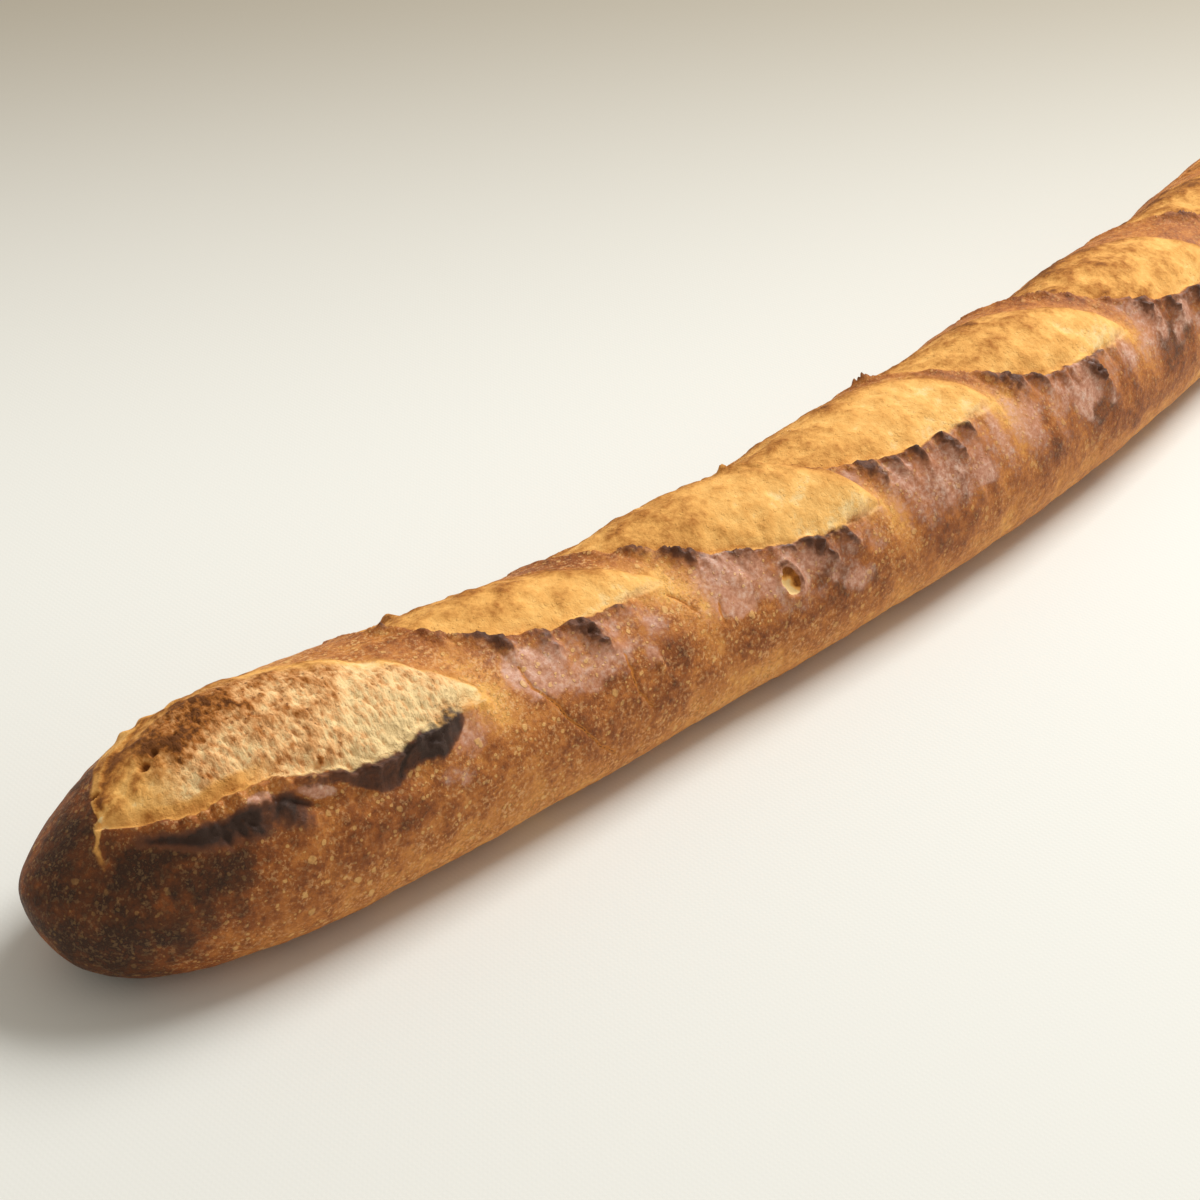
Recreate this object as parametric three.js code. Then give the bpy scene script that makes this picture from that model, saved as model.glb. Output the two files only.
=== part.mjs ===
// A hand-shaped baguette, about 60 cm long and 6.5 cm wide, lying on its flat base.
//
// Units are millimetres. The long axis runs along +X, +Z is up and the ears of the
// slashes face -Y. The loaf is one closed solid: a bent, slightly uneven tube with
// blunt ends, and over it the relief of eight diagonal slashes. Places on the crust are
// given as `s`, the length along the centre line from the -X end, and `arc`, the way
// over the crust from the ridge of the loaf, positive towards the ears.

import * as THREE from 'three';

// ---- Body ----------------------------------------------------------------------------

const LENGTH = 600;
const NEAR_TIP = 1.8; // where the -X tip lies on that length
// Half widths at equal steps from end to end, before the ends are rounded.
const HALF_WIDTHS = [29.4, 34.5, 33.2, 31.0, 31.6, 33.2, 33.5, 32.1, 30.6, 30.0, 27.5];
const HEIGHT_PER_WIDTH = 0.82;
const WIDEST_HEIGHT = 0.43; // share of the height at which the loaf is widest
const LOWER_POWER = 2.6; // squareness of the lower half of the section
const LOWER_POWER_AT_END = 2.2;
const BASE_FLAT = 1.2; // how much the flat base cuts off the round section
// The blunt ends: their lengths, their squareness and how far the underside rises there.
const NEAR_END = { length: 61.8, power: 2.9, lift: 1.26 };
const FAR_END = { length: 62, power: 2.4, lift: 1.2 };
const LIFT_POWER = 1.47; // keeps the rise close to the tip
// Heading of the centre line in degrees: a steady bend and two slow waves.
const BEND = { start: -17.1, turn: 32.4, wave: 2.4, ripple: 0.8 };

// ---- Slashes -------------------------------------------------------------------------

const BACK_ARC = -26; // where the slashes start, over the back of the loaf
const LIP_FADE = 5; // how far the raised lip runs out over the side crust
const BACK_RIM = { height: 0.5, fade: 3 };
const GULLY_FADE = 2.5;
const CRUMB_FULL_WIDTH = 14; // openings narrower than this bulge less

// from, to: start and tip along the loaf. start, tip: arcs of the start and of the tip.
// open, close: how quickly the lip leaves the back and the back edge reaches the tip.
// crown: bulge of the opened crumb. dip: hollow where the slash starts. lip: height of
// the ear. gully: step down behind the ear. waist: neck of the loaf at the slash.
// crags: burnt crests on the ear, each with s, the arc below the lip, height and radius.
// sway: where the lip strays down the side, each with s, reach and how far.
const SLASHES = [
  {
    from: 20, to: 119, start: 6, tip: 20.5, open: 9, close: 2.3,
    crown: 3.1, dip: 0.3, lip: 4.4, gully: 0.8, waist: 0.0, waistAt: 0,
    crags: [[41, 4, 1.4, 4.5], [50, 6, 1.8, 5], [60, 7, 1.5, 5], [98, 1, 2.4, 6],
      [106, 0, 1.2, 3.5]],
    sway: [[53, 10, -1.5], [86, 16, 4]],
  },
  {
    from: 100, to: 187, start: BACK_ARC, tip: 14, open: 4.5, close: 2.2,
    crown: 2.0, dip: 1.5, lip: 2.0, gully: 1.2, waist: 0.3, waistAt: 12,
    crags: [[108, 0, 2.0, 2.5], [116, 1, 1.0, 3], [127, 1, 2.2, 4], [140, 1, 1.5, 3.5],
      [152, 1, 3.0, 5]],
  },
  {
    from: 160, to: 262, start: BACK_ARC, tip: 25, open: 2.6, close: 3.7,
    crown: 4.6, dip: 1.5, lip: 2.0, gully: 1.2, waist: 0.4, waistAt: 11,
    crags: [[183, 0, 1.5, 3.5], [192, 1, 2.5, 4], [232, 1, 2.4, 4.5], [243, 1, 1.8, 4]],
  },
  {
    from: 218, to: 322, start: BACK_ARC, tip: 18, open: 3.4, close: 5.2,
    crown: 2.0, dip: 2.0, lip: 2.0, gully: 1.2, waist: 0.9, waistAt: 20,
    crags: [[231, 0, 2.2, 3], [262, 1, 1.8, 5], [272, 1, 1.6, 3.5], [281, 0, 2.0, 3],
      [293, 1, 2.8, 4], [303, 0, 1.6, 3]],
  },
  {
    from: 301, to: 394, start: BACK_ARC, tip: 22.5, open: 4.0, close: 2.5,
    crown: 3.0, dip: 2.0, lip: 2.2, gully: 1.2, waist: 2.0, waistAt: 29,
    crags: [[304, 0, 2.4, 3], [328, 1, 2.0, 5], [340, 0, 1.5, 3], [364, 1, 3.0, 5]],
  },
  {
    from: 367, to: 462, start: BACK_ARC, tip: 24, open: 3.4, close: 3.9,
    crown: 3.0, dip: 2.0, lip: 2.4, gully: 1.2, waist: 2.6, waistAt: 25,
    crags: [[379, 0, 1.8, 3], [404, 1, 2.0, 5], [418, 1, 1.8, 4], [434, 1, 2.6, 5]],
  },
  {
    from: 452, to: 540, start: BACK_ARC, tip: 21, open: 3.4, close: 3.1,
    crown: 2.8, dip: 2.0, lip: 2.2, gully: 1.2, waist: 2.0, waistAt: 30,
    crags: [[468, 0, 1.6, 4], [482, 1, 2.2, 4], [497, 1, 1.6, 4], [516, 1, 2.4, 5]],
  },
  {
    from: 520, to: 583, start: -22, tip: 13, open: 3.2, close: 2.6,
    crown: 1.8, dip: 0.8, lip: 1.6, gully: 0.8, waist: 0.6, waistAt: 10,
    crags: [[538, 0, 1.4, 3], [552, 1, 2.0, 4], [567, 1, 1.6, 4]],
  },
];

// The ear of the first slash stands clear of the side over a burnt hollow.
const EAR_HOLLOW = { from: 58, to: 100, below: 6, reach: 3.5, depth: 1.6 };

// ---- Mesh ----------------------------------------------------------------------------

const ROWS = 147;
const ROW_CROWDING = 0.62; // 0 crowds the rows into the round ends, 1 spaces them evenly
// Columns round the section, in degrees from the ridge: fine over the slashes.
const COLUMN_SPANS = [
  { from: -50, to: 56, count: 22 },
  { from: 56, to: 112, count: 5 },
  { from: 112, to: 248, count: 8 },
  { from: 248, to: 310, count: 5 },
];
const ARC_RADIUS = 31; // turns an angle round the section into an arc in millimetres

const CRUST = { color: 0xb57a3c, roughness: 0.62, metalness: 0 };

const rad = THREE.MathUtils.degToRad;
const clamp01 = (x) => THREE.MathUtils.clamp(x, 0, 1);
const smooth = (x) => THREE.MathUtils.smoothstep(x, 0, 1);
const bell = (x) => Math.exp(-x * x);

// Catmull-Rom interpolation of values at equal steps over the loaf's length.
function alongLoaf(values, s) {
  const u = clamp01(s / LENGTH) * (values.length - 1);
  const i = Math.min(Math.floor(u), values.length - 2);
  const at = (k) => values[THREE.MathUtils.clamp(k, 0, values.length - 1)];
  const [a, b, c, d] = [at(i - 1), at(i), at(i + 1), at(i + 2)];
  const f = u - i;
  return b + 0.5 * f * (c - a + f * (2 * a - 5 * b + 4 * c - d + f * (3 * (b - c) + d - a)));
}

function heading(s) {
  const turn = (2 * Math.PI * s) / LENGTH;
  const { start, turn: bend, wave, ripple } = BEND;
  return rad(start + (bend * s) / LENGTH + wave * Math.sin(turn) + ripple * Math.sin(2 * turn));
}

// The centre line in plan, one point per millimetre.
const centreLine = [new THREE.Vector2(0, 0)];
for (let s = 1; s <= LENGTH; s += 1) {
  const way = heading(s - 0.5);
  const last = centreLine[s - 1];
  centreLine.push(new THREE.Vector2(last.x + Math.cos(way), last.y + Math.sin(way)));
}

function centre(s) {
  const i = THREE.MathUtils.clamp(Math.floor(s), 0, LENGTH - 1);
  return centreLine[i].clone().lerp(centreLine[i + 1], s - i);
}

// Share of the full width that is left towards the two blunt ends.
function endFactor(s) {
  const near = Math.sqrt(1 - clamp01(1 - (s - NEAR_TIP) / NEAR_END.length) ** NEAR_END.power);
  const far = Math.sqrt(1 - clamp01(1 - (LENGTH - s) / FAR_END.length) ** FAR_END.power);
  return near * far;
}

// A point of the plain body. The angle runs from the ridge towards -Y.
function bodyPoint(s, angle) {
  const full = alongLoaf(HALF_WIDTHS, s);
  const half = full * endFactor(s);
  const height = 2 * HEIGHT_PER_WIDTH * half;
  const widest = WIDEST_HEIGHT * height;
  const [sin, cos] = [Math.sin(angle), Math.cos(angle)];
  const square = 2 / THREE.MathUtils.lerp(LOWER_POWER_AT_END, LOWER_POWER, half / full);
  const across = cos >= 0 ? half * sin : half * Math.sign(sin) * Math.abs(sin) ** square;
  const rise = cos >= 0 ? (height - widest) * cos : -widest * Math.abs(cos) ** square;
  const rising = s < LENGTH / 2 ? NEAR_END.lift : FAR_END.lift;
  const lift = rising * WIDEST_HEIGHT * 2 * HEIGHT_PER_WIDTH * full
    * (1 - half / full) ** LIFT_POWER;
  const [mid, way] = [centre(s), heading(s)];
  return new THREE.Vector3(
    mid.x + Math.sin(way) * across,
    mid.y - Math.cos(way) * across,
    widest + rise + lift - BASE_FLAT,
  );
}

function bodyNormal(s, angle) {
  const [ds, da] = [0.4, 0.01];
  const s0 = Math.max(s - ds, NEAR_TIP + 0.05);
  const s1 = Math.min(s + ds, LENGTH - 0.05);
  const along = bodyPoint(s1, angle).sub(bodyPoint(s0, angle));
  const round = bodyPoint(s, angle + da).sub(bodyPoint(s, angle - da));
  return round.cross(along).normalize();
}

// How far along a slash the place is, and the arcs of its lip and of its back edge.
function slashEdges(slash, s) {
  const t = clamp01((s - slash.from) / (slash.to - slash.from));
  const sway = (slash.sway ?? []).reduce((sum, [at, reach, far]) =>
    sum + far * bell((s - at) / reach), 0);
  const lip = slash.tip + (slash.start - slash.tip) * (1 - t) ** slash.open
    + sway * smooth((1 - t) / 0.2);
  const back = BACK_ARC + (slash.tip - BACK_ARC) * t ** slash.close
    + (slash.start - BACK_ARC) * (1 - t) ** (slash.open - 2);
  return { t, lip, back: Math.min(back, lip) };
}

function openingHeight(slash, { t, lip, back }, arc) {
  const width = Math.max(lip - back, 0.001);
  const v = clamp01((arc - back) / width);
  const bulge = slash.crown * (0.15 + 0.85 * smooth(t / 0.6)) * Math.sin(Math.PI * v ** 0.9) ** 0.8;
  const dip = slash.dip * (1 - smooth(t / 0.45)) * Math.sqrt(Math.sin(Math.PI * v));
  const gully = slash.gully * Math.exp((-(1 - v) * width) / GULLY_FADE)
    * Math.sin(Math.PI * t) ** 0.6;
  return bulge * Math.min(1, width / CRUMB_FULL_WIDTH) - dip - gully;
}

function skinHeight(slash, { lip, back }, s, arc) {
  if (arc < back) {
    return BACK_RIM.height * Math.exp((arc - back) / BACK_RIM.fade);
  }
  const along = clamp01((s - slash.from + 6) / (slash.to - slash.from + 12));
  const ragged = 1 + 0.18 * Math.sin(s * 0.9) * Math.sin(s * 0.37 + 1);
  const crest = slash.lip * Math.sin(Math.PI * along) ** 0.7 * ragged;
  return crest * Math.exp(-(((arc - lip) / LIP_FADE) ** 1.2));
}

const crags = SLASHES.flatMap((slash) => slash.crags.map(([s, below, height, radius]) => (
  { s, arc: slashEdges(slash, s).lip + below, height, radius })));

// Height of the crust over the plain body.
function relief(s, arc) {
  let height = 0;
  for (const slash of SLASHES) {
    if (s <= slash.from || s >= slash.to) continue;
    const edges = slashEdges(slash, s);
    const inside = arc > edges.back && arc < edges.lip;
    height = inside ? openingHeight(slash, edges, arc) : height + skinHeight(slash, edges, s, arc);
  }
  for (const slash of SLASHES) {
    height -= slash.waist * bell((s - slash.from - slash.waistAt) / 17) * bell((arc + 24) / 16);
  }
  for (const crag of crags) {
    height += crag.height * bell((s - crag.s) / crag.radius) * bell((arc - crag.arc) / crag.radius);
  }
  const hollow = EAR_HOLLOW;
  const along = smooth((s - hollow.from) / 8) * smooth((hollow.to - s) / 8);
  const ear = slashEdges(SLASHES[0], Math.min(s, SLASHES[0].to)).lip + hollow.below;
  height -= hollow.depth * along * bell((arc - ear) / hollow.reach);
  return height * smooth(endFactor(s));
}

function columnAngles() {
  return COLUMN_SPANS.flatMap(({ from, to, count }) =>
    Array.from({ length: count }, (_, i) => rad(from + ((to - from) * i) / count)));
}

function rowPositions() {
  return Array.from({ length: ROWS }, (_, i) => {
    const u = (i + 0.6) / (ROWS + 0.2);
    const round = 0.5 - 0.5 * Math.cos(Math.PI * u);
    return NEAR_TIP + (LENGTH - NEAR_TIP) * (ROW_CROWDING * u + (1 - ROW_CROWDING) * round);
  });
}

// Moves the column nearest to each edge of a slash onto that edge, so that edges are crisp.
function snapToEdges(angles, s) {
  const arcs = angles.map((angle) => ARC_RADIUS * angle);
  const taken = new Set();
  for (const slash of SLASHES) {
    if (s <= slash.from || s >= slash.to) continue;
    const { lip, back } = slashEdges(slash, s);
    for (const edge of [lip, back]) {
      let best = 0;
      arcs.forEach((arc, i) => {
        if (Math.abs(arc - edge) < Math.abs(arcs[best] - edge)) best = i;
      });
      if (best > 0 && !taken.has(best) && Math.abs(arcs[best] - edge) < 1.25) {
        arcs[best] = edge + (edge === lip ? 0.001 : -0.001);
        taken.add(best);
      }
    }
  }
  return arcs;
}

function crustPoint(s, arc) {
  const angle = arc / ARC_RADIUS;
  const point = bodyPoint(s, angle);
  point.addScaledVector(bodyNormal(s, angle), relief(s, arc));
  point.z = Math.max(point.z, 0);
  return point;
}

function loafGeometry() {
  const angles = columnAngles();
  const columns = angles.length;
  const points = [];
  for (const s of rowPositions()) {
    for (const arc of snapToEdges(angles, s)) {
      points.push(crustPoint(s, arc));
    }
  }
  const nearPole = points.push(bodyPoint(NEAR_TIP, 0)) - 1;
  const farPole = points.push(bodyPoint(LENGTH, 0)) - 1;
  const index = [];
  for (let j = 0; j < columns; j += 1) {
    const k = (j + 1) % columns;
    const last = (ROWS - 1) * columns;
    index.push(nearPole, k, j);
    index.push(farPole, last + j, last + k);
    for (let i = 0; i < ROWS - 1; i += 1) {
      const [a, b] = [i * columns + j, i * columns + k];
      const [c, d] = [a + columns, b + columns];
      index.push(a, b, d, a, d, c);
    }
  }
  const geometry = new THREE.BufferGeometry().setFromPoints(points);
  geometry.setIndex(index);
  return geometry;
}

// Puts the origin under the middle of the loaf, at the height of its base.
function centreOnBase(geometry) {
  geometry.computeBoundingBox();
  const { min, max } = geometry.boundingBox;
  geometry.translate(-(min.x + max.x) / 2, -(min.y + max.y) / 2, -min.z);
  geometry.computeVertexNormals();
  return geometry;
}

function loaf() {
  const mesh = new THREE.Mesh(centreOnBase(loafGeometry()), new THREE.MeshStandardMaterial(CRUST));
  mesh.name = 'loaf';
  return mesh;
}

const baguette = new THREE.Group();
baguette.name = 'baguette';
baguette.add(loaf());

export default baguette;
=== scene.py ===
"""The crust is one fine mesh over the same form as the CAD solid. Sizes on the loaf are in
millimetres; places on the crust are `s`, the length along the centre line from the -X end,
and `arc`, the way over the crust from the ridge, positive towards the ears (-Y).
"""

from math import radians

import bpy
import numpy as np
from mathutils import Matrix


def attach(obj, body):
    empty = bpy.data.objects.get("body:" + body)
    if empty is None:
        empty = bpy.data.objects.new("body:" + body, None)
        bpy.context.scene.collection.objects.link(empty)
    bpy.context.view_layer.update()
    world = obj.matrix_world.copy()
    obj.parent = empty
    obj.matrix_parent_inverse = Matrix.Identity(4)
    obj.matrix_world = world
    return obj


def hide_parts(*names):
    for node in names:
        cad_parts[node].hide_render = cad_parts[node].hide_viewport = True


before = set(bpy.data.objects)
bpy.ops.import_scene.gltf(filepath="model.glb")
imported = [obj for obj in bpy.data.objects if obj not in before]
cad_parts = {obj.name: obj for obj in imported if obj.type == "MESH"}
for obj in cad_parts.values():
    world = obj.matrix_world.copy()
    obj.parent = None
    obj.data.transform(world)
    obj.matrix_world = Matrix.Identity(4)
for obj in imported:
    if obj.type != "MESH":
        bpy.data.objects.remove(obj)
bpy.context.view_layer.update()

MM = 0.001

# ---- The loaf's form: the same named sizes as the CAD solid

LENGTH = 600.0
NEAR_TIP = 1.8  # where the -X tip lies on that length
HALF_WIDTHS = [29.4, 34.5, 33.2, 31.0, 31.6, 33.2, 33.5, 32.1, 30.6, 30.0, 27.5]
HEIGHT_PER_WIDTH = 0.82
WIDEST_HEIGHT = 0.43
LOWER_POWER, LOWER_POWER_AT_END = 2.6, 2.2
BASE_FLAT = 1.2
NEAR_END = {"length": 61.8, "power": 2.9, "lift": 1.26}
FAR_END = {"length": 62.0, "power": 2.4, "lift": 1.2}
LIFT_POWER = 1.47
BEND = {"start": -17.1, "turn": 32.4, "wave": 2.4, "ripple": 0.8}
ARC_RADIUS = 31.0
BACK_ARC = -26.0
LIP_FADE = 5.0
BACK_RIM_HEIGHT, BACK_RIM_FADE = 0.5, 3.0
WAIST_REACH = {"along": 17, "at": -24, "over": 16}
GULLY_FADE = 2.5
CRUMB_FULL_WIDTH = 14.0
LIP_STEP = 1.1  # the step up to a lip is spread over this much, so that its edge is even

SLASH_KEYS = (
    "first last start tip opens closes crown dip lip gully waist waist_at crags"
).split()
SLASHES = [
    dict(zip(SLASH_KEYS, values))
    for values in (
        (20, 119, 6, 20.5, 9, 2.3, 3.1, 0.3, 4.4, 0.8, 0.0, 0,
         [(41, 4, 1.4, 4.5), (50, 6, 1.8, 5), (60, 7, 1.5, 5), (98, 1, 2.4, 6),
          (106, 0, 1.2, 3.5)]),
        (100, 187, BACK_ARC, 14, 4.5, 2.2, 2.0, 1.5, 2.0, 1.2, 0.3, 12,
         [(108, 0, 2.0, 2.5), (116, 1, 1.0, 3), (127, 1, 2.2, 4), (140, 1, 1.5, 3.5),
          (152, 1, 3.0, 5)]),
        (160, 262, BACK_ARC, 25, 2.6, 3.7, 4.6, 1.5, 2.0, 1.2, 0.4, 11,
         [(183, 0, 1.5, 3.5), (192, 1, 2.5, 4), (232, 1, 2.4, 4.5), (243, 1, 1.8, 4)]),
        (218, 322, BACK_ARC, 18, 3.4, 5.2, 2.0, 2.0, 2.0, 1.2, 0.9, 20,
         [(231, 0, 2.2, 3), (262, 1, 1.8, 5), (272, 1, 1.6, 3.5), (281, 0, 2.0, 3),
          (293, 1, 2.8, 4), (303, 0, 1.6, 3)]),
        (301, 394, BACK_ARC, 22.5, 4.0, 2.5, 3.0, 2.0, 2.2, 1.2, 2.0, 29,
         [(304, 0, 2.4, 3), (328, 1, 2.0, 5), (340, 0, 1.5, 3), (364, 1, 3.0, 5)]),
        (367, 462, BACK_ARC, 24, 3.4, 3.9, 3.0, 2.0, 2.4, 1.2, 2.6, 25,
         [(379, 0, 1.8, 3), (404, 1, 2.0, 5), (418, 1, 1.8, 4), (434, 1, 2.6, 5)]),
        (452, 540, BACK_ARC, 21, 3.4, 3.1, 2.8, 2.0, 2.2, 1.2, 2.0, 30,
         [(468, 0, 1.6, 4), (482, 1, 2.2, 4), (497, 1, 1.6, 4), (516, 1, 2.4, 5)]),
        (520, 583, -22, 13, 3.2, 2.6, 1.8, 0.8, 1.6, 0.8, 0.6, 10,
         [(538, 0, 1.4, 3), (552, 1, 2.0, 4), (567, 1, 1.6, 4)]),
    )
]
EAR_HOLLOW = {"first": 58, "last": 100, "below": 6, "reach": 3.5, "depth": 1.6}
LIP_SWAYS = {0: [(53, 10, -1.5), (86, 16, 4)]}  # slash: s, reach and how far down the side

# ---- Finer forms that only the dressed loaf has

PLEAT = 3.4  # size of the lips' pleats
MELT_FROM = 0.72  # from this share of a slash on, its edges melt into the skin
EDGE_BLUR = {"first": 5, "rest": 8, "back": 24, "melting": 60}  # widths of soft edges
TIP_FILLING = {"gully": 0.8, "crown": 0.3, "reach": 4.0}  # fills the step at the +X tips
LAST_NEAR_SLASH = 4  # past it they are browner, with less burn
# The burnt crests on the lips, in units of their radius, and how high and burnt they are.
FIRST_CRAG = {"along": 0, "below": 0.3, "length": 1.1, "width": 0.7, "tilt": 62,
              "rise": 1.0, "burn_and_shade": 0.62, "burn_by_height": 0}
CRAG = {"along": 0.5, "below": 0.7, "length": 1.6, "width": 0.52, "tilt": 55,
        "rise": 1.3, "burn_and_shade": 0.12, "burn_by_height": 0.18}
# The lighter strip of skin by each +X tip.
TIP_STRIP = {"past": 1, "below": 5, "width": 7, "tilt": 78,
             "length": 17, "far_length": 11, "far_from": 3}
# The dark wall under the first ear, burnt and darkened with painted shade, and the tongues that
# run down from it: s, length, reach.
EAR_WALL = {"first": 58, "last": 111, "foot": 2.8, "tongues": [(85, 4.2, 7), (101, 4.0, 7)]}
# The ochre band under the first lip and the burn and painted shade below it, which both widen
# from `widens` on.
APRON = {"first": 21, "last": 66, "widens": (26, 16), "ochre": 1.0, "ochre_widening": 2.2,
         "burn_and_shade_below": 3.4, "burn_and_shade_widening": 2.8, "burn_and_shade_reach": 3.6}
# Browner crumb in the first opening: s, arc, length, width, tilt.
OCHRE_PATCH = (49, -2, 13, 4.5, -5)
BACK_REACH = {"at": 50, "over": 24, "by": 15}  # golden crust behind the first opening
# Creases under the first lip and by the crags: s, arc, length, width, tilt, depth. The sunken
# ones (depth above 0) are darkened with painted shade.
FOLDS = [
    (31, 19.8, 5.0, 1.4, 32, 0.8), (39, 24.4, 5.0, 1.2, 30, 0.9),
    (44, 26.5, 3.0, 0.7, 80, 0.9), (47.5, 26.8, 3.2, 0.7, 70, 1.0),
    (50.5, 27.5, 2.6, 0.6, 60, 0.8), (53.5, 23.5, 4.0, 2.4, 20, -1.3),
    (62, 26.4, 6.0, 1.0, 29, 1.6), (66, 25.4, 6.0, 1.5, 22, -1.0),
    (90, 27, 4.2, 0.6, 118, 0.9), (99, 25.4, 1.4, 1.1, 0, 1.4),
]
# Hair cracks in the skin: places (s, arc) and the half width.
CRACKS = [
    ([(131, 18), (131.5, 25), (135.5, 29.5), (139.5, 38), (146.5, 48), (155.5, 55)], 0.55),
    ([(161.5, 27), (161.5, 38), (166, 46)], 0.5),
    ([(132, 9), (132, 13)], 0.4),
    ([(183, 17.5), (187, 22), (189, 26.5)], 0.5),
    ([(196, 26), (195, 33)], 0.45),
]
# Pale strands of crumb from the -X tip of the first opening, and their half width.
STRANDS = [
    ([(22, 5), (23, -4), (25, -13)], 0.6),
    ([(22, 5), (28, 3), (33, -1), (36, -6)], 0.6),
    ([(22, 5), (25, 2), (31, -1)], 0.5),
]
SEAM = [(22, 5), (18.5, 12), (18, 20)]  # the pale seam below that tip
# Small holes and burst blisters: s, arc, radius, depth.
HOLES = [(71, 20, 0.9, -0.8), (36, 0, 1.4, 1.5), (39.5, -1.4, 1.0, 1.2), (24, -4.3, 1.2, 1.5)]
BURST_BLISTER = (221, 31, 4.6, 3.2, 84)  # s, arc, length, width, tilt
# Whole blisters: s, arc, length, width.
BLISTERS = [(206, 23.5, 2.6, 2.2), (171, 34, 3.0, 1.0), (300, 38, 2.0, 1.4)]
BLISTER_TILT = 80
# Curls of crust on the back edges of the openings: s, arc, radius, height.
CURLS = [(40, -24, 1.6, 1.3), (46, -24.5, 1.8, 1.2), (55, -25, 2.2, 0.9), (120, -23, 1.6, 1.8)]
# Smooth mauve skin with a painted sheen: s, arc, length, width, tilt, strength.
PATCHES = [
    (111, 26, 8, 7, 0, 0.8), (134, 22, 10, 6.5, 20, 1.0), (150, 27, 12, 5, 0, 0.6),
    (54, 23.5, 4, 2.6, 20, 0.9), (66, 25.4, 6, 1.6, 22, 0.8), (200, 22, 14, 11, 0, 0.9),
    (288, 28, 20, 10, 0, 0.55), (230, 24, 12, 8, 0, 0.6), (262, 30, 10, 8, 0, 0.6),
    (361, 20, 6, 9, 0, 0.8),
]
# Darker baked places on the side: s, arc, length, width.
DARK_PATCHES = [
    (26, 24, 12, 9), (41, 34, 9, 7), (88, 41, 8, 4), (121, 36, 9, 6), (148, 32, 8, 5),
    (176, 33, 9, 6), (202, 42, 10, 6), (240, 34, 14, 8), (292, 29, 16, 8), (364, 40, 9, 6),
    (412, 34, 16, 8), (500, 38, 16, 8), (9, 10, 12, 14), (13, -3, 9, 9), (30, 22, 12, 8),
    (52, 32, 12, 7),
]

CELL = 0.58  # mesh cell over the top and the near side
COARSE_CELL = 2.4  # mesh cell under the loaf
FINE_ARC = (-56.0, 74.0)
SEED = 11


def smooth(x):
    x = np.clip(x, 0.0, 1.0)
    return x * x * (3.0 - 2.0 * x)


def bell(x):
    return np.exp(-x * x)


def rise(x, first, over):
    """From 0 at `first` up to 1, spread over `over`."""
    return smooth((x - first) / over)


def fall(x, first, over):
    """From 1 at `first` down to 0, spread over `over`."""
    return 1 - rise(x, first, over)


def hill(x, at, reach):
    """A bell shape, 1 at `at`."""
    return bell((x - at) / reach)


# ---- Noise ---------------------------

GRADIENTS = np.array(
    [(1, 1, 0), (-1, 1, 0), (1, -1, 0), (-1, -1, 0), (1, 0, 1), (-1, 0, 1),
     (1, 0, -1), (-1, 0, -1), (0, 1, 1), (0, -1, 1), (0, 1, -1), (0, -1, -1)], float)


def hashed(ix, iy, iz, seed):
    """A repeatable random whole number for each lattice point."""
    mask = np.int64(0xFFFFFFFF)
    h = (ix * 374761393 + iy * 668265263 + iz * 1274126177 + seed * 144665) & mask
    h = ((h ^ (h >> 13)) * 1103515245) & mask
    h = ((h ^ (h >> 16)) * 69069) & mask
    return h ^ (h >> 15)


def perlin(p, seed):
    """Gradient noise from about -1 to 1 at points p (..., 3)."""
    cell = np.floor(p).astype(np.int64)
    f = p - cell
    w = f * f * f * (f * (f * 6 - 15) + 10)
    total = 0.0
    for dx in (0, 1):
        for dy in (0, 1):
            for dz in (0, 1):
                pick = hashed(cell[..., 0] + dx, cell[..., 1] + dy, cell[..., 2] + dz, seed) % 12
                dot = (GRADIENTS[pick] * (f - (dx, dy, dz))).sum(-1)
                wx = w[..., 0] if dx else 1 - w[..., 0]
                wy = w[..., 1] if dy else 1 - w[..., 1]
                wz = w[..., 2] if dz else 1 - w[..., 2]
                total = total + dot * wx * wy * wz
    return total * 1.4


def fractal(p, size, seed, octaves=3):
    """Several octaves of noise, the largest `size` millimetres across."""
    total, scale, gain = 0.0, 1.0 / size, 1.0
    for octave in range(octaves):
        total = total + gain * perlin(p * scale, seed + 17 * octave)
        scale *= 2.03
        gain *= 0.5
    return total


def cells(u, v, seed, jitter=0.9):
    """Distance to the nearest of scattered points, and that point's own random number."""
    iu, iv = np.floor(u).astype(np.int64), np.floor(v).astype(np.int64)
    best = np.full(u.shape, 9.0)
    own = np.zeros(u.shape)
    for du in (-1, 0, 1):
        for dv in (-1, 0, 1):
            h = hashed(iu + du, iv + dv, 0 * iu, seed)
            x = iu + du + 0.5 + jitter * ((h & 1023) / 1023.0 - 0.5)
            y = iv + dv + 0.5 + jitter * (((h >> 10) & 1023) / 1023.0 - 0.5)
            d = np.hypot(u - x, v - y)
            near = d < best
            best = np.where(near, d, best)
            own = np.where(near, ((h >> 20) & 255) / 255.0, own)
    return best, own


def flat(s, arc):
    """Noise coordinates on the unrolled crust."""
    return np.stack([s, arc, np.zeros_like(s)], -1)


# ---- The body ------------------------


def along_loaf(values, s):
    """Catmull-Rom interpolation of values at equal steps over the loaf's length."""
    v = np.asarray(values)
    u = np.clip(s / LENGTH, 0, 1) * (len(v) - 1)
    i = np.minimum(np.floor(u).astype(int), len(v) - 2)
    a, b, c, d = (v[np.clip(i + k, 0, len(v) - 1)] for k in (-1, 0, 1, 2))
    f = u - i
    return b + 0.5 * f * (c - a + f * (2 * a - 5 * b + 4 * c - d + f * (3 * (b - c) + d - a)))


def heading(s):
    turn = 2 * np.pi * s / LENGTH
    return np.radians(
        BEND["start"] + BEND["turn"] * s / LENGTH
        + BEND["wave"] * np.sin(turn) + BEND["ripple"] * np.sin(2 * turn))


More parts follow.
